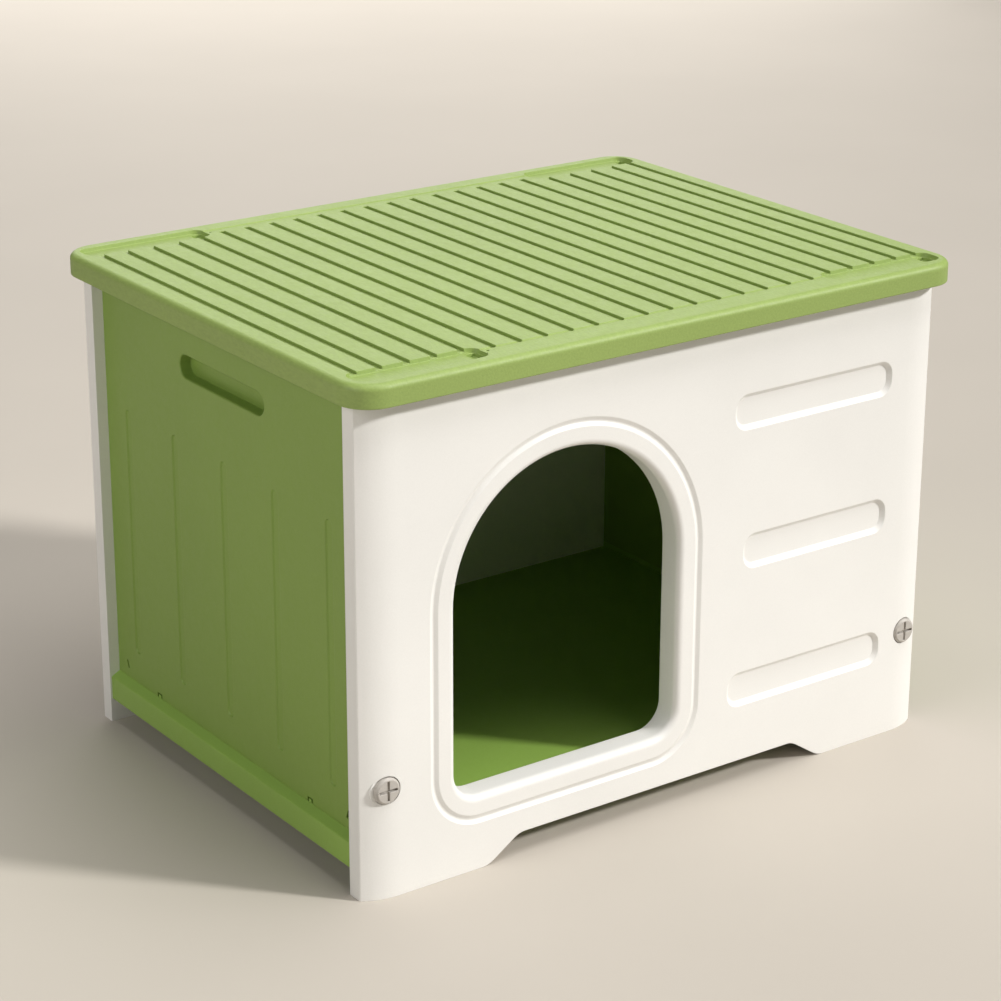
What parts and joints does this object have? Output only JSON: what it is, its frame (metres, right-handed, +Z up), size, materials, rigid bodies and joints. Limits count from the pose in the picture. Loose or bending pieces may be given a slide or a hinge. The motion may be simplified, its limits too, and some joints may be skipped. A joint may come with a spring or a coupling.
{
  "type": "pet house",
  "caption": "Flat-roofed moulded plastic pet house with an arched doorway, ribbed lift-off roof, hand-holds in its sides and round cross-slot corner screws.",
  "frame": {"origin": "on the floor under the middle of the house", "axes": "+Z up, -Y out of the doorway, +X to the right seen from the front"},
  "size_m": [0.5178, 0.3996, 0.3673],
  "materials": {
    "green_plastic": "satin with a fine grain",
    "white_plastic": "satin",
    "grey_plastic": "satin"
  },
  "bodies": {
    "house": {"base_tray": "green_plastic", "front_panel": "white_plastic", "back_panel": "white_plastic", "left_side_panel": "green_plastic", "right_side_panel": "green_plastic"},
    "roof": {"roof": "green_plastic"},
    "screw_front_left": {"screw_front_left": "grey_plastic"},
    "screw_front_right": {"screw_front_right": "grey_plastic"},
    "screw_back_left": {"screw_back_left": "grey_plastic"},
    "screw_back_right": {"screw_back_right": "grey_plastic"}
  },
  "joints": [
    {"name": "roof_lift", "type": "slide", "parent": "house", "child": "roof", "axis": [0, 0, 1], "range_m": [0, 0.3]},
    {"name": "screw_front_left_turn", "type": "hinge", "parent": "house", "child": "screw_front_left", "pos_m": [-0.232, -0.1845, 0.08], "axis": [0, -1, 0], "range_deg": [0, 1980]},
    {"name": "screw_front_right_turn", "type": "hinge", "parent": "house", "child": "screw_front_right", "pos_m": [0.232, -0.1845, 0.08], "axis": [0, -1, 0], "range_deg": [0, 1980]},
    {"name": "screw_back_left_turn", "type": "hinge", "parent": "house", "child": "screw_back_left", "pos_m": [-0.232, 0.1845, 0.08], "axis": [0, 1, 0], "range_deg": [0, 1980]},
    {"name": "screw_back_right_turn", "type": "hinge", "parent": "house", "child": "screw_back_right", "pos_m": [0.232, 0.1845, 0.08], "axis": [0, 1, 0], "range_deg": [0, 1980]}
  ]
}
